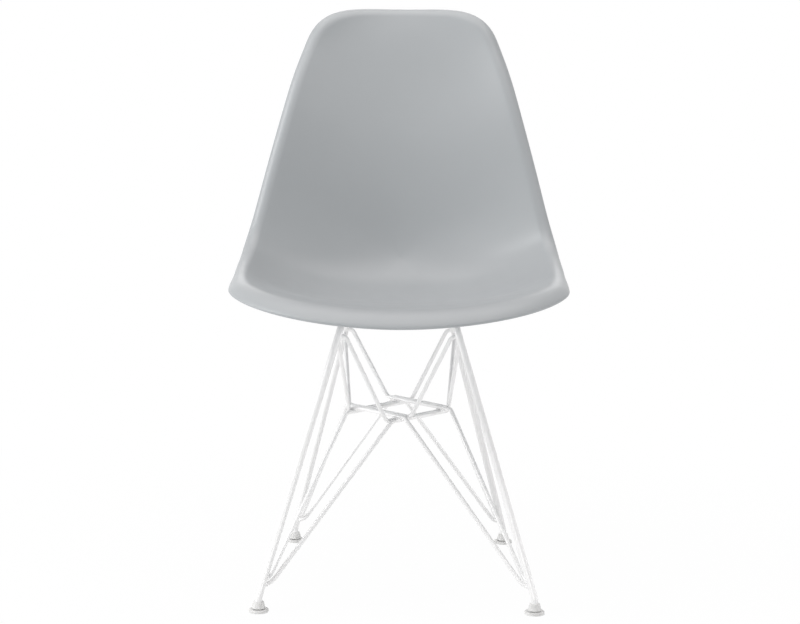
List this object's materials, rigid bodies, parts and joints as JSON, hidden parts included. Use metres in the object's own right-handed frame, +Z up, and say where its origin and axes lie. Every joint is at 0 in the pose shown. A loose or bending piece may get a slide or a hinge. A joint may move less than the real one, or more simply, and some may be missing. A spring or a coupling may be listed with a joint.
{
  "type": "moulded plastic shell chair",
  "caption": "Armless side chair: one-piece moulded plastic seat shell on a splayed, cross-braced wire base with self-levelling floor glides.",
  "frame": {"origin": "on the floor, below the middle of the chair's width and depth", "axes": "+Z up, -Y towards the front, X = 0 is the plane of symmetry"},
  "size_m": [0.4786, 0.5202, 0.8305],
  "materials": {
    "shell_plastic": "fine satin moulded polypropylene, light cool grey",
    "white_coating": "smooth white powder coating on steel wire",
    "glide_nylon": "white nylon",
    "rubber": "matt black rubber",
    "zinc": "zinc-plated steel",
    "brass": "plain brass"
  },
  "bodies": {
    "chair": {"seat_shell": "shell_plastic", "threaded_inserts": "brass", "rubber_mounts": "rubber", "mounting_plates": "white_coating", "mount_washers": "zinc", "mount_screws": "zinc", "left_leg_rod": "white_coating", "right_leg_rod": "white_coating", "front_cross_rod": "white_coating", "rear_cross_rod": "white_coating", "brace_front_left_inner": "white_coating", "brace_front_left_outer": "white_coating", "brace_front_right_inner": "white_coating", "brace_front_right_outer": "white_coating", "brace_rear_left_inner": "white_coating", "brace_rear_left_outer": "white_coating", "brace_rear_right_inner": "white_coating", "brace_rear_right_outer": "white_coating", "ball_studs": "zinc", "glide_collar_front_left": "glide_nylon", "glide_collar_front_right": "glide_nylon", "glide_collar_rear_left": "glide_nylon", "glide_collar_rear_right": "glide_nylon"},
    "glide_front_left": {"glide_pad_front_left": "glide_nylon"},
    "glide_front_right": {"glide_pad_front_right": "glide_nylon"},
    "glide_rear_left": {"glide_pad_rear_left": "glide_nylon"},
    "glide_rear_right": {"glide_pad_rear_right": "glide_nylon"}
  },
  "joints": [
    {"name": "glide_front_left_tilt", "type": "hinge", "parent": "chair", "child": "glide_front_left", "pos_m": [-0.192, -0.19645, 0.0066], "axis": [0, 1, 0], "range_deg": [-6, 6]},
    {"name": "glide_front_right_tilt", "type": "hinge", "parent": "chair", "child": "glide_front_right", "pos_m": [0.192, -0.19645, 0.0066], "axis": [0, 1, 0], "range_deg": [-6, 6]},
    {"name": "glide_rear_left_tilt", "type": "hinge", "parent": "chair", "child": "glide_rear_left", "pos_m": [-0.164, 0.17455, 0.0066], "axis": [0, 1, 0], "range_deg": [-6, 6]},
    {"name": "glide_rear_right_tilt", "type": "hinge", "parent": "chair", "child": "glide_rear_right", "pos_m": [0.164, 0.17455, 0.0066], "axis": [0, 1, 0], "range_deg": [-6, 6]}
  ]
}
